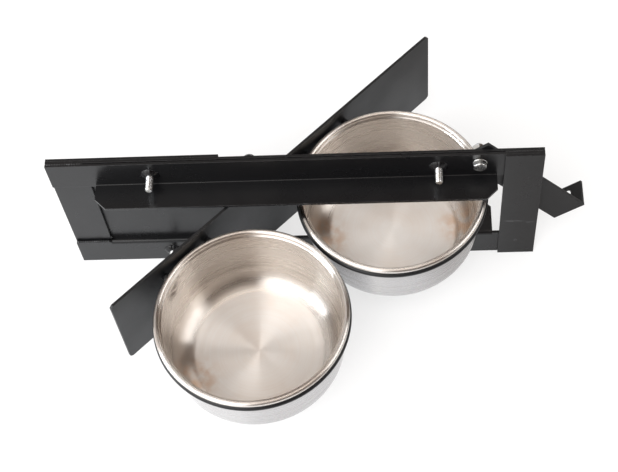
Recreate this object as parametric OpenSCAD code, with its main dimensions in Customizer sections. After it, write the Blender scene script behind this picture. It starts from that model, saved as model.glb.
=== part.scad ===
// Swing-through twin-bowl feeder: a folded steel wall frame with a vertical
// pivot, a swing plate that carries two lift-out bowls in rings, and a drop latch.
// Axes: X to the right, Y to the back, Z up. The origin is the middle of the four
// mounting studs, in the plane where the wall panel bears on their weld collars.

/* [Frame] */
// Width over the two uprights
frame_w = 515; // [500:1:530]
// Height over the two rails
frame_h = 200; // [196:1:210]
// Width of the flat bar in the rails and uprights
bar_w = 40; // [38:0.5:42]
// Thickness of the frame steel
steel_t = 3; // [2.5:0.1:3.4]
// Depth of the front ledge folded from the top rail
top_ledge_depth = 30; // [20:1:34]
// Depth of the rear ledge folded from the bottom rail
low_ledge_depth = 46; // [40:1:50]
// Length of the rear ledge past the pivot that it carries
ledge_past_pivot = 14.5; // [13:0.5:16]
// Gap in the rear ledge to the right of the pivot
ledge_gap = 50; // [30:1:51]
// Side gap between the front ledge and the inner edge of an upright
ledge_inset = 7; // [4:1:12]
// Corner cut of the ledges
ledge_cut = 12; // [6:1:15]
// Outer radius of the folds
fold_r = 4; // [3.5:0.1:5]
// Height of the bar behind the top rail
rear_bar_h = 25; // [24:1:28]
// Gap between the top rail and the bar behind it
rear_gap = 1; // [0.8:0.1:1.2]
// Width of the fixed plate that closes the left side
back_plate_w = 181; // [150:1:185]

/* [Mounting studs] */
// Stud diameter
stud_d = 8; // [6:1:10]
// Stud length in front of the rails
stud_len = 20; // [16:1:30]
// Stud spacing across
stud_pitch_x = 300; // [280:1:320]
// Stud spacing up and down
stud_pitch_z = 160; // [158:1:162]
// Diameter of the weld collar round each stud
collar_d = 21; // [18:0.5:23]
// Height of the weld collar
collar_h = 4; // [2:0.5:6]

/* [Pivot] */
// Pivot axis, measured from the middle of the frame
pivot_x = -46.5; // [-48:0.5:-46]
// Diameter of the pivot rod
rod_d = 10; // [8:0.5:11]
// Outer diameter of the barrel on the swing plate
barrel_d = 23; // [20:0.5:24]
// Outer diameter of the lug on the frame
lug_d = 14; // [13:0.5:16]
// Radial running clearance of the pivots
run_gap = 0.05; // [0.02:0.01:0.1]
// Thickness of the pivot washers
pivot_washer_t = 2; // [1.5:0.1:2.2]

/* [Swing plate] */
// Angle of the swing plate to the frame
swing_angle = 45; // [40:1:70]
// Length of the plate to the left of the pivot
plate_left = 209; // [200:1:210]
// Length of the plate to the right of the pivot
plate_right = 256; // [240:1:258]
// Gap between the plate and the rails above and below it
plate_gap = 2; // [2:0.5:5]
// Small corner cut of the plate
plate_cut = 3; // [1:0.5:6]

/* [Bowls] */
// Diameter over the rolled rim
bowl_d = 200; // [190:1:201]
// Inner depth below the rim
bowl_depth = 87; // [70:1:92]
// Sheet thickness of the bowls
bowl_t = 1; // [0.8:0.1:1.5]
// Diameter of the rolled rim
rim_d = 6; // [5:0.5:7]
// Lean of the bowl wall from upright, in degrees
wall_lean = 3; // [2:0.5:6]
// Outer radius between wall and floor
floor_corner_r = 25; // [18:1:30]
// Diameter of the round bar in the rings
ring_bar_d = 6; // [5:0.5:7]
// Gap between the two rings
ring_space = 1; // [0.5:0.5:3]
// Middle of the two bowls, measured along the plate from the pivot
bowl_shift = -9.5; // [-10:0.5:-9]
// Height of the plate edge above the rims
rim_drop = 13.5; // [13:0.5:16]

/* [Latch] */
// Latch pivot, measured from the middle of the frame
latch_x = 192; // [191:0.5:193]
// Latch pivot below the top of the frame
latch_drop = 14; // [13:0.5:15]
// Angle of the hanging latch below the horizontal
latch_angle = 49; // [40:0.5:49]
// Width of the latch strip
latch_w = 40; // [36:1:40]
// Length of the strip beyond its pivot
latch_reach = 154; // [130:1:160]
// Depth of the bent end tab
tab_depth = 30; // [24:1:36]
// Diameter of the hole in the tab
tab_hole_d = 12; // [8:1:14]
// Diameter of the latch bolt
bolt_d = 8; // [6:1:8]

/* [Hidden] */
$fn = 96;

// Colours of the finishes
coat_black = [0.10, 0.10, 0.11];
stainless = [0.80, 0.78, 0.75];
zinc = [0.85, 0.86, 0.88];

// Clearance between faces that slide past each other
slide_gap = 0.3;
// Overlap of a cutting shape past the face that it cuts
cut = 1;

// Frame, from the middle outwards
half_w = frame_w / 2;
half_h = frame_h / 2;
inner_z = half_h - bar_w;
inner_x = half_w - bar_w;
ledge_half = inner_x - ledge_inset;
bend_r = fold_r - steel_t;
rear_bar_y = steel_t + rear_gap;
rear_face_y = rear_bar_y + steel_t;
upright_lap = bar_w - rear_bar_h - rear_gap;
weld_fill = 5;
stud_bevel = 1;
stud_root_d = stud_d - 1;
collar_top_d = stud_d + 4;

// Pivot and swing plate
pivot_y = rear_face_y + lug_d / 2;
plate_t = steel_t;
plate_front = barrel_d / 2 + plate_t;
plate_top = inner_z - plate_gap;
plate_bottom = -inner_z + plate_gap;
low_ledge_top = -inner_z;
low_ledge_under = low_ledge_top - steel_t;
lug_bottom = inner_z + pivot_washer_t;
lug_top = half_h - 18;
pivot_nut_h = 8;
pivot_nut_af = 17;
pivot_washer_d = 21;
rod_hole_d = rod_d + 2 * run_gap;
nut_bottom = low_ledge_under - pivot_washer_t - pivot_nut_h;
rod_bottom = nut_bottom - 3;

// Bowls and rings, in the plane of the swing plate
rim_r = rim_d / 2;
rim_circle_r = bowl_d / 2 - rim_r;
bar_r = ring_bar_d / 2;
ring_r = bowl_d / 2 - 1.5;
ring_outer_r = ring_r + bar_r;
bowl_pitch = 2 * ring_outer_r + ring_space;
bowl_out = plate_front + ring_outer_r;
rim_z = plate_top - rim_drop;
rim_mid_z = rim_z - rim_r;
rim_to_bar = rim_r + bar_r + slide_gap;
ring_z = rim_mid_z - sqrt(pow(rim_to_bar, 2) - pow(ring_r - rim_circle_r, 2));
bowl_bottom = rim_z - bowl_depth - bowl_t;
weld_lump_d = 8;
weld_lump_h = 6;
weld_lump_x = 30;
bead_from = 3;
bead_to = 7;
bead_h = 3;
bead_end_gap = 6;

// Latch and its bolt
latch_z = half_h - latch_drop;
latch_y = rear_face_y + slide_gap;
latch_back = 10;
tab_hole_y = 20;
latch_washer_d = 15;
latch_washer_t = 1.6;
head_af = 13;
head_h = 5.3;
nut_h = 6.5;
bolt_hole_d = bolt_d + 0.6;
latch_washer_y = latch_y + steel_t + slide_gap;
bolt_nut_y = latch_washer_y + latch_washer_t;
bolt_end_y = bolt_nut_y + nut_h + 3;

// A box given by its lowest and highest corners
module span_box(low, high) {
    translate(low) cube(high - low);
}

// A drawing in the plane of Y and Z, drawn out along X from one place to another
module along_x(from, to) {
    translate([from, 0, 0]) rotate([90, 0, 90]) linear_extrude(to - from) children();
}

// A drawing whose own y points to -Z here, set upright and drawn out towards the back
module along_y(from, to) {
    translate([0, from, 0]) rotate([-90, 0, 0]) linear_extrude(to - from) children();
}

// A round bar or hole along Y
module rod_y(d, from, to) {
    translate([0, from, 0]) rotate([-90, 0, 0]) cylinder(d = d, h = to - from);
}

// A six-sided prism of a given width across flats
module hexagon(across_flats, h) {
    cylinder(d = across_flats / cos(30), h = h, $fn = 6);
}

// The corner of a square of side r that lies outside a circle of radius r
module fold_corner(r) {
    difference() {
        square(r);
        circle(r);
    }
}

// Flat ledge from one x to another with its two far corners cut off, from its root at y = 0
module ledge_outline(from, to, depth) {
    polygon([
        [from, 0], [to, 0], [to, depth - ledge_cut], [to - ledge_cut, depth],
        [from + ledge_cut, depth], [from, depth - ledge_cut]
    ]);
}

// Two weld beads in the corners between a tube on the Z axis and a flat face in front of it
module tube_beads(tube_d, bottom, top) {
    for (side = [0, 1])
        mirror([side, 0, 0]) translate([0, 0, bottom]) linear_extrude(top - bottom) difference() {
            translate([bead_from, -tube_d / 2]) square([bead_to - bead_from, bead_h]);
            circle(d = tube_d);
        }
}

// Places a piece that turns with the swing plate: x runs along the plate and
// -y points to the side of the bowls
module on_swing() {
    translate([pivot_x, pivot_y, 0]) rotate([0, 0, swing_angle]) children();
}

// Places a piece at the centre of one bowl, side -1 left and 1 right
module at_bowl(side) {
    on_swing() translate([bowl_shift + side * bowl_pitch / 2, -bowl_out, 0]) children();
}

// Places a piece that turns with the latch: x runs down the strip from its pivot
module on_latch() {
    translate([latch_x, 0, latch_z]) rotate([0, latch_angle, 0]) children();
}

// Top rail, one sheet with a ledge folded to the front at its lower edge
module top_rail() {
    color(coat_black) difference() {
        union() {
            span_box([-half_w, 0, inner_z], [half_w, steel_t, half_h]);
            translate([0, 0, inner_z]) mirror([0, 1, 0])
                linear_extrude(steel_t) ledge_outline(-ledge_half, ledge_half, top_ledge_depth);
            along_x(-ledge_half, ledge_half)
                translate([-bend_r, inner_z + steel_t + bend_r]) mirror([0, 1]) fold_corner(bend_r);
        }
        along_x(-ledge_half, ledge_half)
            translate([steel_t - fold_r, inner_z + fold_r]) mirror([0, 1]) fold_corner(fold_r);
        translate([latch_x, 0, latch_z]) rod_y(bolt_hole_d, -cut, steel_t + cut);
    }
}

// Bottom rail, one sheet with a ledge folded to the back at its upper edge, in two lengths
// with a gap between them
module bottom_rail() {
    gap_from = pivot_x + ledge_past_pivot;
    color(coat_black) difference() {
        union() {
            span_box([-half_w, 0, -half_h], [half_w, steel_t, low_ledge_top]);
            translate([0, steel_t, low_ledge_under])
                linear_extrude(steel_t) ledge_outline(-inner_x, ledge_half, low_ledge_depth - steel_t);
            along_x(-inner_x, ledge_half)
                translate([steel_t + bend_r, low_ledge_under - bend_r]) mirror([1, 0]) fold_corner(bend_r);
        }
        along_x(-inner_x, ledge_half)
            translate([fold_r, low_ledge_top - fold_r]) mirror([1, 0]) fold_corner(fold_r);
        span_box(
            [gap_from, steel_t, low_ledge_under - bend_r - cut],
            [gap_from + ledge_gap, low_ledge_depth + cut, low_ledge_top + cut]
        );
        translate([pivot_x, pivot_y, low_ledge_under - cut]) cylinder(d = rod_hole_d, h = steel_t + 2 * cut);
    }
}

// Left upright, lapped behind both rails so that the plate closes against it
module left_upright() {
    color(coat_black)
        span_box([-half_w, steel_t, -half_h + bar_w / 2], [-inner_x, 2 * steel_t, inner_z + upright_lap]);
}

// Right upright, lapped over the front of both rails
module right_upright() {
    color(coat_black) span_box([inner_x, -steel_t, -half_h], [half_w, 0, half_h]);
}

// Stiffening bar behind the top rail, which carries the pivot lug and the latch
module rear_bar() {
    color(coat_black) difference() {
        span_box([-half_w, rear_bar_y, half_h - rear_bar_h], [half_w, rear_face_y, half_h]);
        translate([latch_x, 0, latch_z]) rod_y(bolt_hole_d, rear_bar_y - cut, rear_face_y + cut);
    }
}

// Fixed plate that closes the frame to the left of the pivot
module back_plate() {
    color(coat_black)
        span_box(
            [-half_w, rear_face_y, low_ledge_top],
            [-half_w + back_plate_w, rear_face_y + steel_t, half_h]
        );
}

// Welds of the frame: stitches between the top rail and the bar behind it, the seam
// of the left upright, and beads along the pivot lug
module frame_welds() {
    color(coat_black) {
        for (x = [-half_w, inner_x])
            span_box([x, steel_t, half_h - weld_fill], [x + bar_w, rear_bar_y, half_h]);
        translate([pivot_x, pivot_y, 0]) tube_beads(lug_d, half_h - rear_bar_h, lug_top);
        along_x(-half_w, -inner_x)
            polygon([[0, low_ledge_top], [steel_t, low_ledge_top], [steel_t, low_ledge_top + steel_t]]);
    }
}

// Four places of the mounting studs on the rails
module at_studs() {
    for (x = [-1, 1], z = [-1, 1])
        translate([x * stud_pitch_x / 2, 0, z * stud_pitch_z / 2]) rotate([90, 0, 0]) children();
}

// Zinc-plated studs that stand out to the front: a turned-down root that is welded in,
// the stud itself and a bevelled tip
module mount_studs() {
    color(zinc) at_studs() {
        cylinder(d = stud_root_d, h = collar_h);
        translate([0, 0, collar_h]) cylinder(d = stud_d, h = stud_len - collar_h - stud_bevel);
        translate([0, 0, stud_len - stud_bevel])
            cylinder(d1 = stud_d, d2 = stud_d - 2 * stud_bevel, h = stud_bevel);
    }
}

// Weld collar round the root of each stud
module stud_collars() {
    color(coat_black) at_studs() difference() {
        cylinder(d1 = collar_d, d2 = collar_top_d, h = collar_h);
        translate([0, 0, -cut]) cylinder(d = stud_root_d, h = collar_h + 2 * cut);
    }
}

// Tube welded behind the rear bar, which holds the top of the pivot rod
module pivot_lug() {
    color(coat_black) translate([pivot_x, pivot_y, lug_bottom]) difference() {
        cylinder(d = lug_d, h = lug_top - lug_bottom);
        translate([0, 0, -cut]) cylinder(d = rod_hole_d, h = lug_top - lug_bottom + 2 * cut);
    }
}

// Pivot rod with a domed top, clamped by a nut under the rear ledge
module pivot_rod() {
    color(coat_black) translate([pivot_x, pivot_y, 0]) {
        translate([0, 0, rod_bottom]) cylinder(d = rod_d, h = lug_top + 1 - rod_bottom);
        translate([0, 0, lug_top + 1]) difference() {
            sphere(d = rod_d);
            translate([0, 0, -rod_d]) cylinder(d = 2 * rod_d, h = rod_d);
        }
    }
}

// Flat washers on the pivot: above and below the barrel, and over the nut
module pivot_washers() {
    places = [low_ledge_top, low_ledge_under - pivot_washer_t, inner_z];
    color(zinc) for (z = places) translate([pivot_x, pivot_y, z]) difference() {
        cylinder(d = z == inner_z ? lug_d : pivot_washer_d, h = pivot_washer_t);
        translate([0, 0, -cut]) cylinder(d = rod_hole_d, h = pivot_washer_t + 2 * cut);
    }
}

// Nut on the lower end of the pivot rod
module pivot_nut() {
    color(zinc) translate([pivot_x, pivot_y, nut_bottom]) difference() {
        hexagon(pivot_nut_af, pivot_nut_h);
        translate([0, 0, -cut]) cylinder(d = rod_hole_d, h = pivot_nut_h + 2 * cut);
    }
}

// Hexagon bolt that the latch turns on, through the top rail and the rear bar
module latch_bolt() {
    color(zinc) translate([latch_x, 0, latch_z]) {
        translate([0, -latch_washer_t, 0]) rotate([90, 0, 0]) hexagon(head_af, head_h);
        rod_y(bolt_d, -latch_washer_t, bolt_end_y);
    }
}

// Washers under the bolt head and under the nut
module latch_washers() {
    color(zinc) for (y = [-latch_washer_t, latch_washer_y]) translate([latch_x, 0, latch_z]) difference() {
        rod_y(latch_washer_d, y, y + latch_washer_t);
        rod_y(bolt_d + 2 * run_gap, y - cut, y + latch_washer_t + cut);
    }
}

// Nut on the back of the latch bolt
module latch_nut() {
    color(zinc) translate([latch_x, bolt_nut_y, latch_z]) rotate([-90, 0, 0]) difference() {
        hexagon(head_af, nut_h);
        translate([0, 0, -cut]) cylinder(d = bolt_d + 2 * run_gap, h = nut_h + 2 * cut);
    }
}

// Latch strip with its end bent to the back as a finger tab with a padlock hole
module latch_lever() {
    color(coat_black) on_latch() difference() {
        union() {
            span_box([-latch_back, latch_y, -latch_w / 2], [latch_reach, latch_y + steel_t, latch_w / 2]);
            span_box(
                [latch_reach - steel_t, latch_y, -latch_w / 2],
                [latch_reach, latch_y + tab_depth, latch_w / 2]
            );
        }
        rod_y(bolt_d + 2 * run_gap, latch_y - cut, latch_y + steel_t + cut);
        translate([latch_reach - steel_t - cut, latch_y + tab_hole_y, 0])
            rotate([0, 90, 0]) cylinder(d = tab_hole_d, h = steel_t + 2 * cut);
    }
}

// Flat swing plate that fits between the rails, with its corners nipped off
module swing_plate() {
    color(coat_black) on_swing() translate([0, -plate_front, 0]) along_y(0, plate_t) polygon([
        [-plate_left + plate_cut, -plate_top], [plate_right - plate_cut, -plate_top],
        [plate_right, -plate_top + plate_cut], [plate_right, -plate_bottom - plate_cut],
        [plate_right - plate_cut, -plate_bottom], [-plate_left + plate_cut, -plate_bottom],
        [-plate_left, -plate_bottom - plate_cut], [-plate_left, -plate_top + plate_cut]
    ]);
}

// Barrel welded to the back of the swing plate, turning on the pivot rod
module hinge_barrel() {
    bottom = low_ledge_top + pivot_washer_t + slide_gap;
    top = inner_z - slide_gap;
    color(coat_black) on_swing() translate([0, 0, bottom]) difference() {
        cylinder(d = barrel_d, h = top - bottom);
        translate([0, 0, -cut]) cylinder(d = rod_hole_d, h = top - bottom + 2 * cut);
    }
}

// Ring of round bar that carries one bowl under its rim
module bowl_ring(side) {
    color(coat_black) at_bowl(side) translate([0, 0, ring_z])
        rotate_extrude() translate([ring_r, 0]) circle(bar_r);
}

module left_ring() { bowl_ring(-1); }

module right_ring() { bowl_ring(1); }

// Welds of the swing plate: two lumps to each ring and two beads along the barrel
module swing_welds() {
    lump_out = ring_outer_r - sqrt(pow(ring_outer_r, 2) - pow(weld_lump_x, 2));
    color(coat_black) {
        for (side = [-1, 1], along = [-1, 1])
            at_bowl(side)
                translate([along * weld_lump_x, ring_outer_r - lump_out / 2, ring_z - weld_lump_h / 2])
                    cylinder(d = weld_lump_d, h = weld_lump_h);
        on_swing() tube_beads(barrel_d, plate_bottom + bead_end_gap, plate_top - bead_end_gap);
    }
}

// Half section of a bowl: floor, round corner, leaning wall and rolled rim
module bowl_section() {
    top = [rim_circle_r - rim_r + bowl_t, rim_mid_z];
    face = [cos(wall_lean), -sin(wall_lean)];
    corner_z = bowl_bottom + floor_corner_r;
    corner_x = top[0] - (floor_corner_r + (top[1] - corner_z) * sin(wall_lean)) / cos(wall_lean);
    corner = [corner_x, corner_z];
    foot_out = corner + floor_corner_r * face;
    foot_in = corner + (floor_corner_r - bowl_t) * face;
    translate([0, bowl_bottom]) square([corner_x, bowl_t]);
    translate(corner) intersection() {
        difference() {
            circle(floor_corner_r);
            circle(floor_corner_r - bowl_t);
        }
        polygon([[0, 0], [0, -2 * floor_corner_r], 2 * floor_corner_r * [1, -1], 2 * floor_corner_r * face]);
    }
    polygon([foot_out, top, top - [bowl_t, 0], foot_in]);
    translate([rim_circle_r, rim_mid_z]) circle(rim_r);
}

// Spun stainless bowl that hangs in its ring by the rolled rim
module feed_bowl(side) {
    color(stainless) at_bowl(side) rotate_extrude() bowl_section();
}

module left_bowl() { feed_bowl(-1); }

module right_bowl() { feed_bowl(1); }

// The modules above count Y from the rails, which stand a collar's height behind the panel
module behind_panel() {
    translate([0, collar_h, 0]) children();
}

behind_panel() top_rail();
behind_panel() bottom_rail();
behind_panel() left_upright();
behind_panel() right_upright();
behind_panel() rear_bar();
behind_panel() back_plate();
behind_panel() frame_welds();
behind_panel() mount_studs();
behind_panel() stud_collars();
behind_panel() pivot_lug();
behind_panel() pivot_rod();
behind_panel() pivot_washers();
behind_panel() pivot_nut();
behind_panel() latch_bolt();
behind_panel() latch_washers();
behind_panel() latch_nut();
behind_panel() latch_lever();
behind_panel() swing_plate();
behind_panel() hinge_barrel();
behind_panel() left_ring();
behind_panel() right_ring();
behind_panel() swing_welds();
behind_panel() left_bowl();
behind_panel() right_bowl();
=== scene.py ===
# Swing-through twin-bowl feeder: a black coated steel wall frame, a swing plate on a
# vertical pivot that carries two spun stainless bowls in rings, and a drop latch.
# The CAD frame is loaded first; each section then finishes one piece or group of pieces.
import math
import bmesh
import bpy
import numpy as np
from mathutils import Matrix, Vector


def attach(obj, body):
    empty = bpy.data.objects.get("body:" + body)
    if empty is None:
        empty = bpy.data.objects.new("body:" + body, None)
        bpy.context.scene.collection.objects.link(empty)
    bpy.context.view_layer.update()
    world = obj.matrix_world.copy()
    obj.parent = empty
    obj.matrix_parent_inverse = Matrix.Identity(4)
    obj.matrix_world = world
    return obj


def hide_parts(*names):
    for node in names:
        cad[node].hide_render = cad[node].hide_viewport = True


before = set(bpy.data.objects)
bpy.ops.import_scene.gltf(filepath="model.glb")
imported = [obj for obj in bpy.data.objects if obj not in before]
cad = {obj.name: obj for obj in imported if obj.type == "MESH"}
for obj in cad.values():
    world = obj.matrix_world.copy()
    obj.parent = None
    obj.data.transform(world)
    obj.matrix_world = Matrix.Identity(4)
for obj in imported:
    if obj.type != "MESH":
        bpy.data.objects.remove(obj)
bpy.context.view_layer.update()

# Wall frame
# Two rails, two uprights, a rear bar and a closing plate cut from 3 mm flat steel, folded,
# stitched together by welds and sprayed with one satin black powder coat.
mm = 0.001
coat_black = (0.0040, 0.0040, 0.0046, 1.0)
coat_rubbed = (0.090, 0.090, 0.095, 1.0)
coat_roughness = 0.30
cloud_gloss = 0.035
worn_roughness = 0.15
edge_radius = 0.7 * mm
edge_share = 0.45
peel_depth = 0.12 * mm


def put(tree, kind, options=None, **inputs):
    """Adds one node, sets its options, and fills or links the inputs given by name."""
    made = tree.nodes.new(kind)
    for option, value in (options or {}).items():
        setattr(made, option, value)
    for name, value in inputs.items():
        feed(tree, made.inputs[name.replace("_", " ")], value)
    return made


def feed(tree, socket, value):
    """Links a socket to another one, or sets its own value."""
    if isinstance(value, bpy.types.NodeSocket):
        tree.links.new(value, socket)
    else:
        socket.default_value = value


def calc(tree, operation, *values):
    """One Math node on two or three numbers or sockets."""
    made = put(tree, "ShaderNodeMath", {"operation": operation})
    for socket, value in zip(made.inputs, values):
        feed(tree, socket, value)
    return made.outputs[0]


def remap(tree, value, low, high, to_low=0.0, to_high=1.0):
    """Carries low..high smoothly to to_low..to_high and holds it at both ends."""
    made = put(
        tree, "ShaderNodeMapRange", {"interpolation_type": "SMOOTHSTEP"},
        Value=value, From_Min=low, From_Max=high, To_Min=to_low, To_Max=to_high)
    return made.outputs["Result"]


def blend_colour(tree, amount, first, second):
    """Mixes two colours by an amount from 0 to 1."""
    made = put(tree, "ShaderNodeMix", {"data_type": "RGBA"})
    feed(tree, made.inputs[0], amount)
    feed(tree, made.inputs[6], first)
    feed(tree, made.inputs[7], second)
    return made.outputs[2]


def noise(tree, where, size, detail=2.0):
    """Noise whose blobs are about size metres across."""
    made = put(tree, "ShaderNodeTexNoise", Vector=where, Scale=1.0 / size, Detail=detail)
    return made.outputs[0]


def new_group(name, inputs, outputs):
    """An empty shader node group with named sockets, given as {name: kind}."""
    group = bpy.data.node_groups.new(name, "ShaderNodeTree")
    for socket, kind in inputs.items():
        group.interface.new_socket(socket, in_out="INPUT", socket_type="NodeSocket" + kind)
    for socket, kind in outputs.items():
        group.interface.new_socket(socket, in_out="OUTPUT", socket_type="NodeSocket" + kind)
    return group, put(group, "NodeGroupInput"), put(group, "NodeGroupOutput")


def powder_grain_group():
    """Orange peel of a powder coat: fine pimples on slow waves, and cloudy gloss."""
    group, given, result = new_group(
        "powder_grain", {"Vector": "Vector"}, {"Height": "Float", "Gloss": "Float"})
    where = given.outputs["Vector"]
    pimples = noise(group, where, 0.9 * mm, 1.0)
    waves = noise(group, where, 7.0 * mm, 1.0)
    height = calc(group, "MULTIPLY_ADD", waves, 3.0, pimples)
    clouds = noise(group, where, 45.0 * mm, 3.0)
    feed(group, result.inputs["Height"], height)
    feed(group, result.inputs["Gloss"], remap(group, clouds, 0.3, 0.7, -1.0, 1.0))
    return group


def edge_wear_group():
    """Rounds the shading of sharp edges and puts out a broken mask along them."""
    group, given, result = new_group(
        "edge_wear", {"Vector": "Vector", "Radius": "Float"}, {"Mask": "Float", "Normal": "Vector"})
    rounded = put(group, "ShaderNodeBevel", {"samples": 6}, Radius=given.outputs["Radius"])
    flat = put(group, "ShaderNodeNewGeometry")
    turned = put(group, "ShaderNodeVectorMath", {"operation": "DOT_PRODUCT"})
    feed(group, turned.inputs[0], rounded.outputs[0])
    feed(group, turned.inputs[1], flat.outputs["Normal"])
    edge = remap(group, turned.outputs["Value"], 0.99, 0.82)
    breaks = noise(group, given.outputs["Vector"], 4.0 * mm, 4.0)
    feed(group, result.inputs["Mask"], calc(group, "MULTIPLY", edge, remap(group, breaks, 0.40, 0.66)))
    feed(group, result.inputs["Normal"], rounded.outputs[0])
    return group


def scuff_group():
    """A streak of fine parallel scratches inside the unit ball of the mapped coordinates."""
    group, given, result = new_group("scuff", {"Vector": "Vector"}, {"Mask": "Float"})
    reach = put(group, "ShaderNodeVectorMath", {"operation": "LENGTH"})
    feed(group, reach.inputs[0], given.outputs["Vector"])
    inside = remap(group, reach.outputs["Value"], 1.0, 0.35)
    lines = put(group, "ShaderNodeMapping", Vector=given.outputs["Vector"], Scale=(1.2, 5.0, 5.0))
    hairs = noise(group, lines.outputs[0], 0.7, 3.0)
    feed(group, result.inputs["Mask"], calc(group, "MULTIPLY", inside, remap(group, hairs, 0.46, 0.62)))
    return group


powder_grain = powder_grain_group()
edge_wear = edge_wear_group()
scuff = scuff_group()


def new_material(name):
    """An empty node material and its shader."""
    material = bpy.data.materials.new(name)
    material.use_nodes = True
    tree = material.node_tree
    tree.nodes.clear()
    shader = put(tree, "ShaderNodeBsdfPrincipled")
    put(tree, "ShaderNodeOutputMaterial", Surface=shader.outputs[0])
    return material, tree, shader


def place_group(tree, group, **inputs):
    """Puts a node group into a material with its own values."""
    return put(tree, "ShaderNodeGroup", {"node_tree": group}, **inputs)


def coated_steel(name, roughness=coat_roughness, grain=0.10, scuffs=()):
    """Satin black powder coat, rubbed at its edges and in scuffs. grain is the strength of the
    orange peel. Each scuff is its middle, half sizes and turn about Y."""
    material, tree, shader = new_material(name)
    where = put(tree, "ShaderNodeTexCoord").outputs["Object"]
    peel = place_group(tree, powder_grain, Vector=where)
    edges = place_group(tree, edge_wear, Vector=where, Radius=edge_radius)
    worn = calc(tree, "MULTIPLY", edges.outputs["Mask"], edge_share)
    for middle, half_sizes, turn in scuffs:
        spot = put(
            tree, "ShaderNodeMapping", {"vector_type": "TEXTURE"},
            Vector=where, Location=middle, Rotation=(0.0, turn, 0.0), Scale=half_sizes)
        streak = place_group(tree, scuff, Vector=spot.outputs[0])
        worn = calc(tree, "MAXIMUM", worn, streak.outputs["Mask"])
    feed(tree, shader.inputs["Base Color"], blend_colour(tree, worn, coat_black, coat_rubbed))
    cloudy = calc(tree, "MULTIPLY_ADD", peel.outputs["Gloss"], cloud_gloss, roughness)
    feed(tree, shader.inputs["Roughness"], calc(tree, "MULTIPLY_ADD", worn, worn_roughness, cloudy))
    bump = put(
        tree, "ShaderNodeBump", Strength=grain, Distance=peel_depth,
        Height=peel.outputs["Height"], Normal=edges.outputs["Normal"])
    feed(tree, shader.inputs["Normal"], bump.outputs[0])
    return material


def paint(nodes, material):
    """Gives CAD nodes one material."""
    for name in nodes:
        for place in cad[name].material_slots:
            place.material = material


frame_coat = coated_steel("frame_coat")
paint(("top_rail", "bottom_rail", "left_upright", "rear_bar", "back_plate"), frame_coat)

upright_scuffs = (
    ((232.0 * mm, 1.0 * mm, -30.0 * mm), (15.0 * mm, 3.0 * mm, 3.0 * mm), 0.05),
    ((250.0 * mm, 1.0 * mm, -33.0 * mm), (7.0 * mm, 3.0 * mm, 2.0 * mm), 0.0),
    ((236.0 * mm, 1.0 * mm, -72.0 * mm), (3.0 * mm, 3.0 * mm, 3.0 * mm), 0.3))
paint(("right_upright",), coated_steel("upright_coat", scuffs=upright_scuffs))

# Frame welds
# Stitch welds join the rear bar to the top rail at both corners, a seam joins the left
# upright to the bottom rail, and two beads hold the pivot lug; all are under the coat.
rail_front = 4.0 * mm
frame_half_w = 257.5 * mm
frame_half_h = 100.0 * mm
bar_w = 40.0 * mm
steel_t = 3.0 * mm
rear_gap = 1.0 * mm
rear_bar_h = 25.0 * mm
pivot_x = -46.5 * mm
pivot_y = rail_front + 14.0 * mm
lug_r = 7.0 * mm
lug_weld_drop = 18.0 * mm
stitch_r = 1.5 * mm
seam_half_w = 1.9 * mm
seam_half_h = 1.7 * mm
lug_bead_half_w = 2.0 * mm
lug_bead_half_h = 1.6 * mm


def skin(name, grids, wrap_rows=False, crease=40.0):
    """Makes one mesh from grids of points [row, column, xyz]. Columns close round, rows
    close round if asked; rows that shrink to a point are merged. The UV map runs round the
    columns in U and along the rows in V."""
    points, faces, corners_uv = [], [], []
    start = 0
    for grid in grids:
        rows, columns = grid.shape[:2]
        row = np.arange(rows if wrap_rows else rows - 1)[:, None]
        column = np.arange(columns)[None, :]
        next_row = (row + 1) % rows
        next_column = (column + 1) % columns
        quads = np.stack(
            [row * columns + column, row * columns + next_column,
             next_row * columns + next_column, next_row * columns + column], axis=-1)
        last_row = len(row)
        along = np.broadcast_to(np.stack([row, row, row + 1, row + 1], axis=-1), quads.shape) / last_row
        around = np.broadcast_to(
            np.stack([column, column + 1, column + 1, column], axis=-1), quads.shape) / columns
        points.append(grid.reshape(-1, 3))
        faces.append(quads.reshape(-1, 4) + start)
        corners_uv.append(np.stack([around, along], axis=-1).reshape(-1, 2))
        start += rows * columns
    mesh = bpy.data.meshes.new(name)
    mesh.from_pydata(np.concatenate(points).tolist(), [], np.concatenate(faces).tolist())
    layer = mesh.uv_layers.new(name="UVMap")
    layer.data.foreach_set("uv", np.concatenate(corners_uv).astype(np.float32).ravel())
    shell = bmesh.new()
    shell.from_mesh(mesh)
    bmesh.ops.remove_doubles(shell, verts=shell.verts, dist=0.0005 * mm)
    bmesh.ops.recalc_face_normals(shell, faces=shell.faces)
    shell.to_mesh(mesh)
    shell.free()
    mesh.polygons.foreach_set("use_smooth", np.ones(len(mesh.polygons), dtype=bool))
    mesh.set_sharp_from_angle(angle=math.radians(crease))
    piece = bpy.data.objects.new(name, mesh)
    bpy.context.scene.collection.objects.link(piece)
    return piece


def dress(piece, material, body, slot, *nodes):
    """Gives a new piece its material and body, and hides the CAD nodes it stands for. The finish slot is not
    used.
    """
    piece.data.materials.append(material)
    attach(piece, body)
    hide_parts(*nodes)


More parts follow.
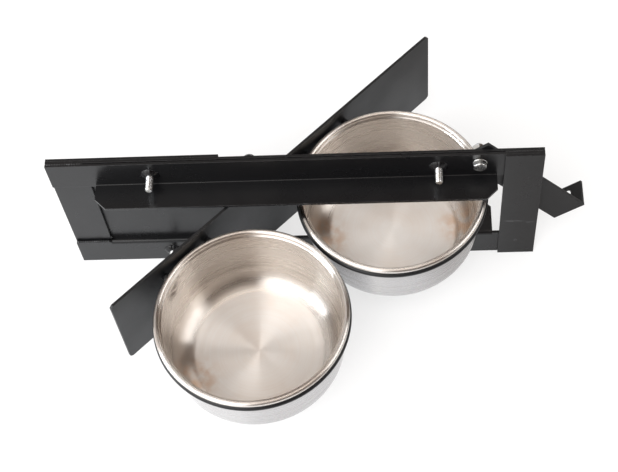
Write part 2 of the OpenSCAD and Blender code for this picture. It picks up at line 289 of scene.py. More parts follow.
def weld_bead(start, end, half_width, half_height, side, ripple=2.6 * mm, phase=0.0):
    """A bead from start to end: an ellipse carried along the line, swollen by crescent
    ripples that lag behind at its flanks, uneven in width, and drawn to a point at both ends.
    side is the direction of the ellipse's width."""
    start, end, side = np.array(start), np.array(end), np.array(side, dtype=float)
    length = np.linalg.norm(end - start)
    forward = (end - start) / length
    up = np.cross(forward, side)
    rows = int(length / (0.35 * mm))
    along = np.linspace(0.0, 1.0, rows)[:, None]
    turn = np.linspace(0.0, 2.0 * np.pi, 20, endpoint=False)[None, :]
    travel = along * length
    wave = np.sin(2.0 * np.pi * travel / ripple + 1.3 * np.cos(2.0 * turn) + phase)
    uneven = 0.10 * np.sin(travel / (3.7 * mm) + 2.0 * phase) + 0.07 * np.sin(travel / (1.9 * mm) + phase)
    taper = np.sqrt(np.clip(1.0 - np.abs(2.0 * along - 1.0) ** 14.0, 0.0, 1.0))
    swell = taper * (1.0 + 0.10 * wave + uneven)
    across = half_width * swell * np.cos(turn)
    rise = half_height * swell * np.sin(turn)
    centre = start + (end - start) * along[..., None]
    return centre + across[..., None] * side + rise[..., None] * up


stitch_y = rail_front + steel_t + rear_gap / 2.0
stitch_z = frame_half_h - 1.0 * mm
seam_z = -frame_half_h + bar_w + 0.8 * mm
seam_y = rail_front + 1.6 * mm
inner_x = frame_half_w - bar_w
lug_weld_x = 0.75 * lug_r
lug_weld_y = rail_front + 7.3 * mm
lug_weld_low = frame_half_h - rear_bar_h
lug_weld_high = frame_half_h - lug_weld_drop
frame_beads = [
    weld_bead((-frame_half_w, stitch_y, stitch_z), (-inner_x, stitch_y, stitch_z),
              stitch_r, stitch_r, (0, 1, 0)),
    weld_bead((inner_x, stitch_y, stitch_z), (frame_half_w, stitch_y, stitch_z),
              stitch_r, stitch_r, (0, 1, 0), phase=1.7),
    weld_bead((-frame_half_w, seam_y, seam_z), (-inner_x, seam_y, seam_z),
              seam_half_w, seam_half_h, (0, 1, 0), phase=0.6)]
for lug_side in (-1.0, 1.0):
    bead_x = pivot_x + lug_side * lug_weld_x
    frame_beads.append(weld_bead(
        (bead_x, lug_weld_y, lug_weld_low), (bead_x, lug_weld_y, lug_weld_high),
        lug_bead_half_w, lug_bead_half_h, (1, 0, 0), phase=lug_side))
weld_coat = coated_steel("weld_coat", grain=0.45)
dress(skin("frame_weld_beads", frame_beads), weld_coat, "frame", "black_coat", "frame_welds")

# Mounting studs
# Four zinc-plated M8 studs stand out of the rails to take the wall panel; each is welded
# in by an uneven collar that the black coat runs over.
stud_r = 4.0 * mm
stud_len = 20.0 * mm
stud_bevel = 1.0 * mm
collar_h = 4.0 * mm
collar_r = 10.5 * mm
thread_pitch = 1.25 * mm
thread_depth = 0.55 * mm
thread_step = thread_pitch / 10.0
fit_gap = 0.05 * mm
stud_x = 150.0 * mm
stud_z = 80.0 * mm
stud_places = [(x, z) for x in (-stud_x, stud_x) for z in (-stud_z, stud_z)]
zinc_blue = (0.78, 0.79, 0.81, 1.0)
zinc_milky = (0.68, 0.67, 0.63, 1.0)
zinc_edge = (0.86, 0.86, 0.86, 1.0)


def turned(stations, radii, columns=48, across_flats=None, thread_from=None, thread_to=None):
    """A turned piece about the local Z axis: the radius given at each station, cut back to a
    hexagon if it is milled, and with a helical V thread between two stations."""
    turn = np.linspace(0.0, 2.0 * np.pi, columns, endpoint=False)[None, :]
    height = np.asarray(stations, dtype=float)[:, None]
    radius = np.asarray(radii, dtype=float)[:, None] * np.ones_like(turn)
    if across_flats:
        from_flat = (turn + np.pi / 6.0) % (np.pi / 3.0) - np.pi / 6.0
        radius = np.minimum(radius, across_flats / 2.0 / np.cos(from_flat))
    if thread_to:
        winding = height / thread_pitch - turn / (2.0 * np.pi)
        tooth = np.abs(2.0 * (winding % 1.0) - 1.0)
        fade = np.clip(np.minimum(height - thread_from, thread_to - height) / thread_pitch, 0.0, 1.0)
        radius = np.minimum(radius, np.maximum(radius - thread_depth * tooth * fade, 0.0))
    return np.stack([radius * np.cos(turn), radius * np.sin(turn), height + 0.0 * turn], axis=-1)


def stand(grid, foot, axis):
    """Moves a turned piece so that its local Z runs along axis from the foot point."""
    turn = np.array(Vector(axis).to_track_quat("Z", "Y").to_matrix())
    return grid @ turn.T + np.array(foot)


def bright_zinc(name, roughness=0.20):
    """Bright zinc plate: pale blue-white metal with milky patches and fine draw marks."""
    material, tree, shader = new_material(name)
    where = put(tree, "ShaderNodeTexCoord").outputs["Object"]
    edges = place_group(tree, edge_wear, Vector=where, Radius=0.4 * mm)
    milky = remap(tree, noise(tree, where, 6.0 * mm, 3.0), 0.35, 0.70)
    plate = blend_colour(tree, milky, zinc_blue, zinc_milky)
    feed(tree, shader.inputs["Base Color"], blend_colour(tree, edges.outputs["Mask"], plate, zinc_edge))
    feed(tree, shader.inputs["Roughness"], calc(tree, "MULTIPLY_ADD", milky, 0.14, roughness))
    shader.inputs["Metallic"].default_value = 1.0
    bump = put(
        tree, "ShaderNodeBump", Strength=0.25, Distance=0.05 * mm,
        Height=noise(tree, where, 0.8 * mm, 2.0), Normal=edges.outputs["Normal"])
    feed(tree, shader.inputs["Normal"], bump.outputs[0])
    return material


thread_rows = np.arange(0.0, stud_len - stud_bevel, thread_step)
stud_stations = np.concatenate([[0.0], thread_rows, [stud_len - stud_bevel, stud_len, stud_len]])
stud_radii = np.concatenate([[0.0], np.full(len(thread_rows), stud_r), [stud_r, stud_r - stud_bevel, 0.0]])
stud_shape = turned(stud_stations, stud_radii, thread_from=collar_h - 2.0 * mm, thread_to=stud_len)
studs = [stand(stud_shape, (x, rail_front, z), (0, -1, 0)) for x, z in stud_places]
zinc = bright_zinc("zinc_plate")
dress(skin("threaded_studs", studs), zinc, "frame", "zinc", "mount_studs")


def weld_collar(phase):
    """A ring of weld about the local Z axis: a wedge section that falls from the stud to the
    rail as a power of the way out, carried round, its flank pushed in and out by three slow
    lobes and a finer ripple."""
    way_out = np.linspace(0.0, 1.0, 14)
    inner_r = stud_r + fit_gap
    section_r = inner_r + (collar_r - inner_r) * np.append(way_out, [0.6, 0.0])
    section_h = np.append(collar_h * (1.0 - way_out ** 1.6), [0.0, 0.0])
    turn = np.linspace(0.0, 2.0 * np.pi, 96, endpoint=False)[None, :]
    lobes = 0.05 * np.sin(3.0 * turn + phase) + 0.035 * np.sin(7.0 * turn + 2.0 * phase)
    ripple = 0.02 * np.sin(19.0 * turn + 3.0 * phase)
    out = (section_r - inner_r)[:, None]
    radius = inner_r + out * (0.93 + lobes + ripple)
    height = section_h[:, None] * (0.95 + 0.8 * lobes + ripple)
    return np.stack([radius * np.cos(turn), radius * np.sin(turn), height], axis=-1)


collars = [
    stand(weld_collar(1.9 * i), (x, rail_front, z), (0, -1, 0)) for i, (x, z) in enumerate(stud_places)]
collar_coat = coated_steel("collar_coat", roughness=0.16, grain=0.5)
dress(skin("stud_weld_collars", collars, wrap_rows=True), collar_coat, "frame", "black_coat", "stud_collars")

# Pivot
# A steel rod hangs in a lug on the rear bar and goes down through the lower ledge, where a
# zinc-plated nut and washers hold it; rod and lug are coated with the frame.
paint(("pivot_lug", "pivot_rod"), frame_coat)
rod_r = 5.0 * mm
ledge_top = -60.0 * mm
ledge_under = ledge_top - steel_t
pivot_washer_t = 2.0 * mm
pivot_washer_r = 10.5 * mm
pivot_nut_h = 8.0 * mm
nut_flats = 17.0 * mm


def washer(inner_r, outer_r, thickness):
    """A flat ring about the local Z axis whose four edges are rounded: a rounded box section
    carried round."""
    soft = 0.25 * thickness
    near, far = inner_r + soft, outer_r - soft
    radii = [inner_r, inner_r, near, far, outer_r, outer_r, far, near]
    heights = [soft, thickness - soft, thickness, thickness, thickness - soft, soft, 0.0, 0.0]
    return turned(heights, radii, columns=96)


def hexagon_end(across_flats):
    """The end of a hexagon whose corners are turned off at 30 degrees: the radius at the
    corners, the radius of the round face, and how far the cut reaches down."""
    corner_r = across_flats / math.sqrt(3.0)
    face_r = 0.475 * across_flats
    return corner_r, face_r, (corner_r - face_r) * math.tan(math.radians(30.0))


def hexagon_nut(inner_r, across_flats, height):
    """A hexagon nut about the local Z axis: a ring section with corners turned off at both
    faces, cut back to the hexagon."""
    corner_r, face_r, lip = hexagon_end(across_flats)
    bore_lip = 0.6 * mm
    radii = [inner_r, inner_r, inner_r + bore_lip, face_r, corner_r, corner_r, face_r, inner_r + bore_lip]
    heights = [bore_lip, height - bore_lip, height, height, height - lip, lip, 0.0, 0.0]
    return turned(heights, radii, columns=120, across_flats=across_flats)


rod_bore_r = rod_r + fit_gap
washer_places = (
    (pivot_washer_r, ledge_top), (pivot_washer_r, ledge_under - pivot_washer_t), (lug_r, -ledge_top))
pivot_washers = [
    stand(washer(rod_bore_r, washer_r, pivot_washer_t), (pivot_x, pivot_y, foot_z), (0, 0, 1))
    for washer_r, foot_z in washer_places]
dress(skin("pivot_washer_stack", pivot_washers, wrap_rows=True), zinc, "frame", "zinc", "pivot_washers")
pivot_nut = stand(
    hexagon_nut(rod_bore_r, nut_flats, pivot_nut_h),
    (pivot_x, pivot_y, ledge_under - pivot_washer_t - pivot_nut_h), (0, 0, 1))
dress(skin("pivot_hexagon_nut", [pivot_nut], wrap_rows=True, crease=15.0), zinc, "frame", "zinc", "pivot_nut")

# Swing plate, barrel and rings
# A flat steel plate is welded to a barrel that turns on the rod; two rings of round bar are
# tacked to its front and carry the bowls. Plate, barrel and rings share one black coat.
plate_angle = math.radians(45.0)
bar_r = 3.0 * mm
ring_r = 98.5 * mm
ring_z = 35.4 * mm
ring_space = 1.0 * mm
bowl_shift = -9.5 * mm
barrel_r = 11.5 * mm
tack_x = 30.0 * mm
tack_half_sizes = (4.2 * mm, 4.2 * mm, 3.6 * mm)
barrel_bead_x = 5.0 * mm
barrel_bead_half_len = 52.0 * mm
barrel_bead_half_w = 2.0 * mm
barrel_bead_half_h = 1.5 * mm
barrel_bead_sink = 0.6 * mm
outer_ring_r = ring_r + bar_r
half_pitch = outer_ring_r + ring_space / 2.0
bowl_out = barrel_r + steel_t + outer_ring_r
plate_along = np.array([math.cos(plate_angle), math.sin(plate_angle), 0.0])
plate_out = np.array([math.sin(plate_angle), -math.cos(plate_angle), 0.0])
pivot_point = np.array([pivot_x, pivot_y, 0.0])
left_centre = pivot_point + (bowl_shift - half_pitch) * plate_along + bowl_out * plate_out
right_centre = pivot_point + (bowl_shift + half_pitch) * plate_along + bowl_out * plate_out
swing_coat = coated_steel("swing_coat", roughness=0.40)
paint(("swing_plate", "hinge_barrel"), swing_coat)


def bar_ring(centre):
    """A ring of round bar: a small circle carried round a large one, a little thinner where
    its two ends were butted and dressed."""
    around = np.linspace(0.0, 2.0 * np.pi, 288, endpoint=False)[:, None]
    turn = np.linspace(0.0, 2.0 * np.pi, 24, endpoint=False)[None, :]
    joint = np.exp(-((around - 1.2) / 0.02) ** 2)
    radius = bar_r * (1.0 - 0.05 * joint)
    reach = ring_r + radius * np.cos(turn)
    ring = np.stack(
        [reach * np.cos(around), reach * np.sin(around), radius * np.sin(turn) + 0.0 * around], axis=-1)
    return ring + centre + np.array([0.0, 0.0, ring_z])


for side, centre in (("left", left_centre), ("right", right_centre)):
    dress(skin(side + "_bar_ring", [bar_ring(centre)], wrap_rows=True), swing_coat,
          "swing_arm", "black_coat", side + "_ring")


def weld_lump(middle, half_sizes, phase):
    """A tack weld: an ellipsoid with its surface pushed in and out by a few waves."""
    lift = np.linspace(-np.pi / 2.0, np.pi / 2.0, 25)[:, None]
    turn = np.linspace(0.0, 2.0 * np.pi, 36, endpoint=False)[None, :]
    swell = 1.0 + 0.09 * np.sin(3.0 * turn + phase) * np.cos(lift) + 0.06 * np.sin(5.0 * lift + 2.0 * phase)
    unit = np.stack(
        [np.cos(lift) * np.cos(turn), np.cos(lift) * np.sin(turn), np.sin(lift) + 0.0 * turn], axis=-1)
    return np.array(middle) + unit * swell[..., None] * np.array(half_sizes)


tack_gap = outer_ring_r - math.sqrt(outer_ring_r ** 2 - tack_x ** 2)
swing_welds = []
for centre in (left_centre, right_centre):
    for along in (-1.0, 1.0):
        tack = centre + along * tack_x * plate_along - (outer_ring_r - tack_gap / 2.0) * plate_out
        tack[2] = ring_z
        swing_welds.append(weld_lump(tack, tack_half_sizes, centre[0] / mm + along))
barrel_bead_end = np.array([0.0, 0.0, barrel_bead_half_len])
for along in (-1.0, 1.0):
    bead = pivot_point + along * barrel_bead_x * plate_along + (barrel_r - barrel_bead_sink) * plate_out
    swing_welds.append(weld_bead(
        bead - barrel_bead_end, bead + barrel_bead_end, barrel_bead_half_w, barrel_bead_half_h,
        plate_along, phase=along))
dress(skin("swing_weld_beads", swing_welds), weld_coat, "swing_arm", "black_coat", "swing_welds")

# Bowls
# Each bowl is spun from thin stainless sheet, with a flat floor, a rounded corner, a leaning
# wall and a rim rolled outwards; the wheel leaves fine rings that fan out the light.
bowl_r = 100.0 * mm
rim_r = 3.0 * mm
rim_mid_z = 41.5 * mm
bowl_t = 1.0 * mm
bowl_bottom = -43.5 * mm
corner_r = 25.0 * mm
wall_lean = math.radians(3.0)
floor_z = bowl_bottom + bowl_t
dish_rise = 0.5 * mm
dish_r = 64.0 * mm
dish_slope = 6.0 * mm
shoulder_in = 1.9 * mm
shoulder_drop = 2.8 * mm
wave_height = 0.5 * mm
# The scoured floor's reach, and the widths over which it and the brown of the wall fade
dull_r = 68.0 * mm
dull_in = 2.0 * mm
dull_out = 3.0 * mm
brown_out = 12.0 * mm
floor_roughness = 0.44
wall_roughness = 0.26
streak_roughness = 0.03
# The right bowl's floor is less metallic than the left's, so the fill lamp lights it more: painted light
# against the top rail's shade.
left_floor_metallic = 0.70
right_floor_metallic = 0.30
# Colours of the steel and its stains, the grey painted shade of the outer wall, and how strongly they are
# mixed in
steel_pale = (0.89, 0.85, 0.81, 1.0)
steel_warm = (0.84, 0.755, 0.685, 1.0)
steel_brown = (0.56, 0.51, 0.465, 1.0)
outer_painted_shade = (0.60, 0.60, 0.61, 1.0)
warm_share = 0.55
streak_share = 0.45
brown_share = 0.6
outer_shade_share = 0.75
tarnish = (0.72, 0.53, 0.40, 1.0)
grime = (0.16, 0.13, 0.11, 1.0)
# Spinning rings: the circle that their noise is read on, their counts along the section, their bump
ring_round = 0.2
fine_rings = 620.0
broad_rings = 110.0
broad_height = 0.8
ring_depth = 0.03 * mm
ring_bump = 0.015


def arc(middle_r, middle_z, radius, from_angle, to_angle, count):
    """Points of a circular arc in the section plane, as radii and heights."""
    angle = np.linspace(from_angle, to_angle, count)
    return middle_r + radius * np.cos(angle), middle_z + radius * np.sin(angle)


def ease(step):
    """A smooth rise from 0 to 1, level at both ends."""
    held = np.clip(step, 0.0, 1.0)
    return held * held * (3.0 - 2.0 * held)


def bowl_profile():
    """The closed section from the middle of the underside round the rim to the middle of the
    floor: straight floor, corner arc, leaning wall, rolled rim and the shoulder inside it, and
    back down the wall to a floor that steps up to a shallow dish. Gives the radii, the heights
    and the share of the way along at which each of these parts ends."""
    rim_circle = bowl_r - rim_r
    wall_top = rim_circle - rim_r + bowl_t
    corner_z = bowl_bottom + corner_r
    corner_x = wall_top - (corner_r + (rim_mid_z - corner_z) * math.sin(wall_lean)) / math.cos(wall_lean)
    under = np.linspace(0.0, corner_x, 60), np.full(60, bowl_bottom)
    outer_corner = arc(corner_x, corner_z, corner_r, -np.pi / 2.0, -wall_lean, 16)
    roll = arc(rim_circle, rim_mid_z, rim_r, -0.75 * np.pi, 1.0 * np.pi, 40)
    inner_top = wall_top - bowl_t
    inner_corner = arc(corner_x, corner_z, corner_r - bowl_t, -wall_lean, -np.pi / 2.0, 16)
    wall_steps = np.linspace(0.0, 1.0, 34)[1:-1]
    outer_wall = (
        outer_corner[0][-1] + (roll[0][0] - outer_corner[0][-1]) * wall_steps,
        outer_corner[1][-1] + (roll[1][0] - outer_corner[1][-1]) * wall_steps)
    shoulder_steps = np.linspace(0.0, 1.0, 8)[1:]
    shoulder = (
        inner_top - shoulder_in * ease(shoulder_steps),
        rim_mid_z - shoulder_drop * shoulder_steps)
    inner_wall = (
        shoulder[0][-1] + (inner_corner[0][0] - shoulder[0][-1]) * wall_steps,
        shoulder[1][-1] + (inner_corner[1][0] - shoulder[1][-1]) * wall_steps)
    floor_r = np.linspace(corner_x, 0.0, 90)
    floor = floor_r, floor_z + dish_rise * ease((dish_r - floor_r) / dish_slope)
    parts = (under, outer_corner, outer_wall, roll, shoulder, inner_wall, inner_corner, floor)
    radii = np.concatenate([part[0] for part in parts])
    heights = np.concatenate([part[1] for part in parts])
    part_ends = np.cumsum([len(part[0]) for part in parts]) / len(radii)
    return radii, heights, part_ends


bowl_radii, bowl_heights, bowl_part_ends = bowl_profile()
# Places in the UV map's V, which runs along the section, where the outer wall ends and the inner starts
edge_v = 0.01
outer_v = bowl_part_ends[2]
shoulder_v = bowl_part_ends[4]


def spun_bowl(centre):
    """The section turned about the bowl's axis, with a spinner's slight waviness in the wall."""
    radii, heights = bowl_radii[:, None], bowl_heights[:, None]
    turn = np.linspace(0.0, 2.0 * np.pi, 240, endpoint=False)[None, :]
    up_wall = np.clip((heights - bowl_bottom) / (rim_mid_z - bowl_bottom), 0.0, 1.0)
    waviness = wave_height * up_wall * (1.0 - up_wall) * np.sin(3.0 * turn + 8.0 * up_wall)
    radius = radii + waviness * (radii > 0.0)
    grid = np.stack([radius * np.cos(turn), radius * np.sin(turn), heights + 0.0 * turn], axis=-1)
    return grid + centre


def spun_rings_group():
    """Fine rings left by spinning: noise read on a small circle from the UV map's U and along a
    long line from its V, so that it is drawn out round the bowl."""
    group, given, result = new_group("spun_rings", {"UV": "Vector"}, {"Height": "Float", "Streak": "Float"})
    split = put(group, "ShaderNodeSeparateXYZ", Vector=given.outputs["UV"])
    turn = calc(group, "MULTIPLY", split.outputs[0], 2.0 * math.pi)
    round_x = calc(group, "MULTIPLY", calc(group, "COSINE", turn), ring_round)
    round_y = calc(group, "MULTIPLY", calc(group, "SINE", turn), ring_round)
    fine = put(group, "ShaderNodeCombineXYZ", X=round_x, Y=round_y)
    feed(group, fine.inputs["Z"], calc(group, "MULTIPLY", split.outputs[1], fine_rings))
    broad = put(group, "ShaderNodeCombineXYZ", X=round_x, Y=round_y)
    feed(group, broad.inputs["Z"], calc(group, "MULTIPLY", split.outputs[1], broad_rings))
    fine_lines = noise(group, fine.outputs[0], 1.0, 2.0)
    broad_lines = noise(group, broad.outputs[0], 1.0, 2.0)
    feed(group, result.inputs["Height"], calc(group, "MULTIPLY_ADD", broad_lines, broad_height, fine_lines))
    feed(group, result.inputs["Streak"], remap(group, broad_lines, 0.3, 0.7))
    return group


def blot_group():
    """A soft patch inside the unit ball of the mapped coordinates, broken up by noise."""
    group, given, result = new_group("blot", {"Vector": "Vector"}, {"Mask": "Float"})
    reach = put(group, "ShaderNodeVectorMath", {"operation": "LENGTH"})
    feed(group, reach.inputs[0], given.outputs["Vector"])
    inside = remap(group, reach.outputs["Value"], 1.0, 0.2)
    breaks = remap(group, noise(group, given.outputs["Vector"], 0.35, 5.0), 0.30, 0.66)
    feed(group, result.inputs["Mask"], calc(group, "MULTIPLY", inside, breaks))
    return group


spun_rings = spun_rings_group()
blot = blot_group()


def spun_stainless(name, centre, floor_metallic, blots):
    """Spun stainless: rings in the bump and gloss, warm clouds, a brown inner wall, an outer wall painted a
    darker grey as painted shade, a scoured floor that is dull and partly metallic, and light drawn out across
    the rings by the shader's anisotropy. Blots are given by bearing, way out, level, size and colour."""
    material, tree, shader = new_material(name)
    where = put(tree, "ShaderNodeTexCoord")
    rings = place_group(tree, spun_rings, UV=where.outputs["UV"])
    stains = remap(tree, noise(tree, where.outputs["Object"], 38.0 * mm, 3.0), 0.40, 0.72)
    streaked = calc(tree, "MULTIPLY_ADD", rings.outputs["Streak"], streak_share, stains)
    colour = blend_colour(tree, calc(tree, "MULTIPLY", streaked, warm_share), steel_pale, steel_warm)
    from_axis = put(
        tree, "ShaderNodeMapping", Vector=where.outputs["Object"], Location=-centre, Scale=(1.0, 1.0, 0.0))
    reach = put(tree, "ShaderNodeVectorMath", {"operation": "LENGTH"})
    feed(tree, reach.inputs[0], from_axis.outputs[0])
    out_from_axis = reach.outputs["Value"]
    along = put(tree, "ShaderNodeSeparateXYZ", Vector=where.outputs["UV"]).outputs["Y"]
    in_wall = calc(
        tree, "MULTIPLY", remap(tree, along, shoulder_v - edge_v, shoulder_v),
        remap(tree, out_from_axis, dull_r, dull_r + brown_out, 0.0, brown_share))
    colour = blend_colour(tree, in_wall, colour, steel_brown)
    for bearing, out, level, size, tint in blots:
        turn = math.radians(bearing)
        middle = centre + np.array([out * math.cos(turn), out * math.sin(turn), level])
        spot = put(
            tree, "ShaderNodeMapping", {"vector_type": "TEXTURE"},
            Vector=where.outputs["Object"], Location=middle, Scale=(size, size, size))
        patch = place_group(tree, blot, Vector=spot.outputs[0])
        colour = blend_colour(tree, patch.outputs["Mask"], colour, tint)
    # The outer wall is mixed to a darker grey: painted shade that holds it down against the white floor it
    # mirrors.
    outer_shade_mask = remap(tree, along, outer_v, outer_v - edge_v, 0.0, outer_shade_share)
    feed(tree, shader.inputs["Base Color"], blend_colour(tree, outer_shade_mask, colour, outer_painted_shade))
    past_floor = remap(tree, out_from_axis, dull_r - dull_in, dull_r + dull_out)
    dull = calc(tree, "MULTIPLY_ADD", past_floor, wall_roughness - floor_roughness, floor_roughness)
    feed(tree, shader.inputs["Roughness"], calc(
        tree, "MULTIPLY_ADD", rings.outputs["Streak"], streak_roughness, dull))
    feed(tree, shader.inputs["Metallic"], calc(
        tree, "MULTIPLY_ADD", past_floor, 1.0 - floor_metallic, floor_metallic))
    shader.inputs["Anisotropic"].default_value = 1.0
    shader.inputs["Anisotropic Rotation"].default_value = 0.25
    tangent = put(tree, "ShaderNodeTangent", {"direction_type": "UV_MAP", "uv_map": "UVMap"})
    feed(tree, shader.inputs["Tangent"], tangent.outputs[0])
    bump = put(
        tree, "ShaderNodeBump", Strength=ring_bump, Distance=ring_depth, Height=rings.outputs["Height"])
    feed(tree, shader.inputs["Normal"], bump.outputs[0])
    return material


# Tarnish lies where the floor turns up into the wall
stain_out = 76.0 * mm
stain_level = floor_z + 2.0 * mm
stain_size = 36.0 * mm
left_blots = (
    (157.0, 91.0 * mm, 27.0 * mm, 17.0 * mm, grime), (148.0, 93.5 * mm, 36.0 * mm, 4.0 * mm, grime),
    (206.0, stain_out, stain_level, stain_size, tarnish))
right_blots = (
    (186.0, stain_out, stain_level, stain_size, tarnish), (4.0, stain_out, stain_level, stain_size, tarnish))
bowls = (
    ("left", left_centre, left_floor_metallic, left_blots),
    ("right", right_centre, right_floor_metallic, right_blots))
for side, centre, floor_metallic, blots in bowls:
    bowl = skin(side + "_spun_bowl", [spun_bowl(centre)])
    steel = spun_stainless(side + "_spun_steel", centre, floor_metallic, blots)
    dress(bowl, steel, side + "_bowl", "stainless", side + "_bowl")

# Latch
# A strip of coated flat steel hangs on an M8 bolt behind the frame, its end bent back into a
# tab with a hole; the zinc-plated bolt has a washer under its head and under its nut.
latch_x = 192.0 * mm
latch_z = 86.0 * mm
latch_washer_t = 1.6 * mm
latch_washer_r = 7.5 * mm
bolt_play = 0.2 * mm
bolt_bevel = 1.0 * mm
bolt_thread = 12.0 * mm
head_flats = 13.0 * mm
head_h = 5.3 * mm
latch_nut_h = 6.5 * mm
back_washer_y = rail_front + 10.6 * mm
bolt_end_y = rail_front + 21.7 * mm
paint(("latch_lever",), coated_steel("latch_coat", roughness=0.42))
bolt_length = bolt_end_y - rail_front + latch_washer_t + head_h
head_corner_r, head_face_r, head_lip = hexagon_end(head_flats)
shank = np.arange(head_h, bolt_length - bolt_bevel, thread_step)
bolt_stations = np.concatenate([[0.0, 0.0, head_lip, head_h], shank, [bolt_length, bolt_length]])
head_radii = [0.0, head_face_r, head_corner_r, head_corner_r]
bolt_radii = np.concatenate([head_radii, np.full(len(shank), stud_r), [stud_r - bolt_bevel, 0.0]])
bolt_shape = turned(
    bolt_stations, bolt_radii, columns=120, across_flats=head_flats,
    thread_from=bolt_length - bolt_thread, thread_to=bolt_length)
bolt_foot = (latch_x, rail_front - latch_washer_t - head_h, latch_z)
dress(skin("latch_hexagon_bolt", [stand(bolt_shape, bolt_foot, (0, 1, 0))], crease=15.0), zinc,
      "frame", "zinc", "latch_bolt")
latch_washer = washer(stud_r + bolt_play, latch_washer_r, latch_washer_t)
latch_washers = [
    stand(latch_washer, (latch_x, rail_front - latch_washer_t, latch_z), (0, 1, 0)),
    stand(latch_washer, (latch_x, back_washer_y, latch_z), (0, 1, 0))]
dress(skin("latch_washer_pair", latch_washers, wrap_rows=True), zinc, "frame", "zinc", "latch_washers")
latch_nut = stand(
    hexagon_nut(stud_r + fit_gap, head_flats, latch_nut_h),
    (latch_x, back_washer_y + latch_washer_t, latch_z), (0, 1, 0))
dress(skin("latch_hexagon_nut", [latch_nut], wrap_rows=True, crease=15.0), zinc, "frame", "zinc", "latch_nut")

# Studio
# The feeder stands on a plain white floor, which metal mirrors with shade at its right, in a dim
# room with a lit left wall, a lit band at the back and a pale ceiling. Two soft boxes and a strip
# draw the highlights, and a fill that metal does not mirror evens the light from the front.
# The camera looks down from the front, a little from the right, rolled as the photograph is.
camera_place = Vector((0.1146, -0.7893, 1.3277))
camera_pitch = math.radians(59.96)
camera_yaw = math.radians(-7.76)
camera_roll = math.radians(-8.19)
image_width = 618
focal_pixels = 1430.0
ahead = Vector((
    math.sin(camera_yaw) * math.cos(camera_pitch), math.cos(camera_yaw) * math.cos(camera_pitch),
    -math.sin(camera_pitch)))
level = Vector((math.cos(camera_yaw), -math.sin(camera_yaw), 0.0))
upward = level.cross(ahead)
right = math.cos(camera_roll) * level + math.sin(camera_roll) * upward
up = math.cos(camera_roll) * upward - math.sin(camera_roll) * level
lens = bpy.data.cameras.new("camera")
lens.sensor_width = 36.0
lens.lens = focal_pixels / image_width * lens.sensor_width
camera = bpy.data.objects.new("camera", lens)
camera.matrix_world = Matrix.Translation(camera_place) @ Matrix((right, up, -ahead)).transposed().to_4x4()
bpy.context.scene.collection.objects.link(camera)
bpy.context.scene.camera = camera

ground_z = -frame_half_h - 0.4 * mm
ground_half = 12.0
ground_pale = (0.90, 0.90, 0.90, 1.0)
mirrored_pale = (0.95, 0.97, 1.0, 1.0)
mirrored_shade = (0.20, 0.19, 0.19, 1.0)
shade_from = 150.0 * mm
shade_to = 270.0 * mm
paper_white = (1.0, 1.0, 1.0, 1.0)
paper_share = 0.65


def plain_sheet(name, half, height):
    """A flat square sheet, a grid of two straight parameters."""
    across = np.linspace(-half, half, 9)
    x, y = np.meshgrid(across, across)
    rows, columns = x.shape
    first = (np.arange(rows - 1)[:, None] * columns + np.arange(columns - 1)[None, :]).ravel()
    mesh = bpy.data.meshes.new(name)
    points = np.stack([x, y, np.full_like(x, height)], axis=-1).reshape(-1, 3)
    quads = np.stack([first, first + 1, first + columns + 1, first + columns], axis=-1)
    mesh.from_pydata(points.tolist(), [], quads.tolist())
    sheet = bpy.data.objects.new(name, mesh)
    bpy.context.scene.collection.objects.link(sheet)
    return sheet


floor = plain_sheet("floor", ground_half, ground_z)
floor_paint, tree, shader = new_material("floor_paint")
shader.inputs["Base Color"].default_value = ground_pale
shader.inputs["Roughness"].default_value = 1.0
shader.inputs["Specular IOR Level"].default_value = 0.0
rays = put(tree, "ShaderNodeLightPath")
place = put(tree, "ShaderNodeTexCoord").outputs["Object"]
across = put(tree, "ShaderNodeSeparateXYZ", Vector=place).outputs["X"]
mirrored_paper = blend_colour(tree, remap(tree, across, shade_from, shade_to), mirrored_pale, mirrored_shade)
paper = blend_colour(tree, rays.outputs["Is Camera Ray"], mirrored_paper, paper_white)
white = put(tree, "ShaderNodeEmission", Color=paper, Strength=1.0)
mirrored = calc(tree, "MAXIMUM", rays.outputs["Is Glossy Ray"], rays.outputs["Is Transmission Ray"])
looked_at = calc(tree, "MAXIMUM", rays.outputs["Is Camera Ray"], mirrored)
lifted = put(tree, "ShaderNodeMixShader", Fac=calc(tree, "MULTIPLY", looked_at, paper_share))
feed(tree, lifted.inputs[1], shader.outputs[0])
feed(tree, lifted.inputs[2], white.outputs[0])
feed(tree, tree.get_output_node("ALL").inputs["Surface"], lifted.outputs[0])
floor.data.materials.append(floor_paint)


def soft_box(name, place, target, size, power, colour=(1.0, 1.0, 1.0)):
    """A square area light that faces a point."""
    light = bpy.data.lights.new(name, "AREA")
    light.size = size
    light.color = colour
    light.energy = power
    lamp = bpy.data.objects.new(name, light)
    aim = (Vector(target) - Vector(place)).to_track_quat("-Z", "Y")
    lamp.matrix_world = Matrix.Translation(place) @ aim.to_matrix().to_4x4()
    bpy.context.scene.collection.objects.link(lamp)
    return lamp


soft_box("right_box", (1.61, 0.02, 1.60), (0.05, 0.0, 0.0), 1.3, 13.0)
soft_box("front_left_box", (-1.00, -1.05, 1.15), (0.0, -0.1, -0.1), 1.5, 9.0, (0.94, 0.97, 1.0))
front_fill = soft_box("front_fill", (0.05, -1.25, 2.0), (0.0, 0.0, 0.0), 1.4, 38.0)
front_fill.visible_glossy = False
soft_box("left_strip", (-0.95, -0.30, 0.45), (-0.28, -0.20, -0.1), 0.4, 5.0, (0.92, 0.96, 1.0))

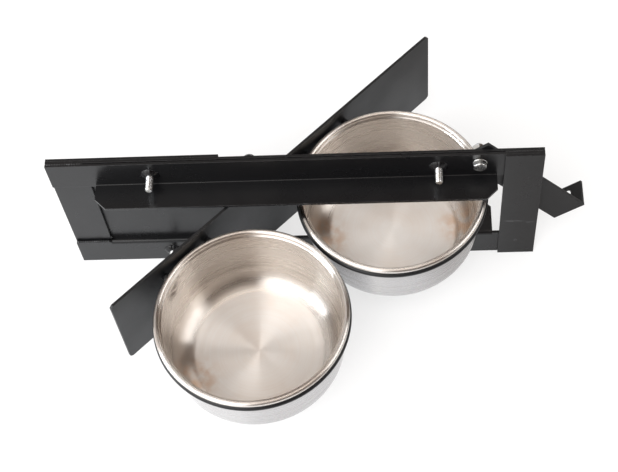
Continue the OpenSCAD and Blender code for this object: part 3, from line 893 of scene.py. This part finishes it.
world = bpy.data.worlds.new("studio_room")
bpy.context.scene.world = world
world.use_nodes = True
tree = world.node_tree
tree.nodes.clear()
where = put(tree, "ShaderNodeTexCoord").outputs["Generated"]
outward = put(tree, "ShaderNodeVectorMath", {"operation": "MULTIPLY"})
feed(tree, outward.inputs[0], where)
feed(tree, outward.inputs[1], (1.0, 1.0, 0.0))
bearing = put(tree, "ShaderNodeVectorMath", {"operation": "NORMALIZE"})
feed(tree, bearing.inputs[0], outward.outputs[0])
height = put(tree, "ShaderNodeSeparateXYZ", Vector=where).outputs["Z"]


def bright_wall(middle, half_width, soft):
    """A part of the room's wall that is bright: full round its middle bearing, gone beyond its
    half width, with an edge that fades over the soft angle. All angles are in degrees."""
    turn = math.radians(middle)
    towards = put(tree, "ShaderNodeVectorMath", {"operation": "DOT_PRODUCT"})
    feed(tree, towards.inputs[0], bearing.outputs[0])
    feed(tree, towards.inputs[1], (math.cos(turn), math.sin(turn), 0.0))
    outer = math.cos(math.radians(half_width + soft / 2.0))
    inner = math.cos(math.radians(half_width - soft / 2.0))
    return remap(tree, towards.outputs["Value"], outer, inner)


# Heights on the walls are sines of the angle above the horizon.
wall_dark = (0.075, 0.050, 0.036, 1.0)
wall_lit = (2.0, 1.955, 1.91, 1.0)
ceiling_lit = (1.50, 1.38, 1.28, 1.0)
pale_share = 0.36
left_rise = remap(tree, height, 0.0, 0.60, 0.44, 0.88)
left_wall = calc(tree, "MULTIPLY", bright_wall(228.0, 32.0, 16.0), left_rise)
band_foot = remap(tree, height, 0.48, 0.60)
band_top = remap(tree, height, 0.78, 0.70)
band = calc(tree, "MULTIPLY", band_foot, band_top)
back_wall = calc(tree, "MULTIPLY", bright_wall(76.0, 24.0, 14.0), band)
pale_wall = calc(tree, "MULTIPLY", bright_wall(190.0, 70.0, 30.0), pale_share)
brightest = calc(tree, "MAXIMUM", left_wall, back_wall)
walls = blend_colour(tree, calc(tree, "MAXIMUM", brightest, pale_wall), wall_dark, wall_lit)
ceiling = remap(tree, height, 0.90, 0.97)
room = blend_colour(tree, ceiling, walls, ceiling_lit)
glow = put(tree, "ShaderNodeBackground", Color=room)
put(tree, "ShaderNodeOutputWorld", Surface=glow.outputs[0])

bpy.context.scene.view_settings.view_transform = "Standard"
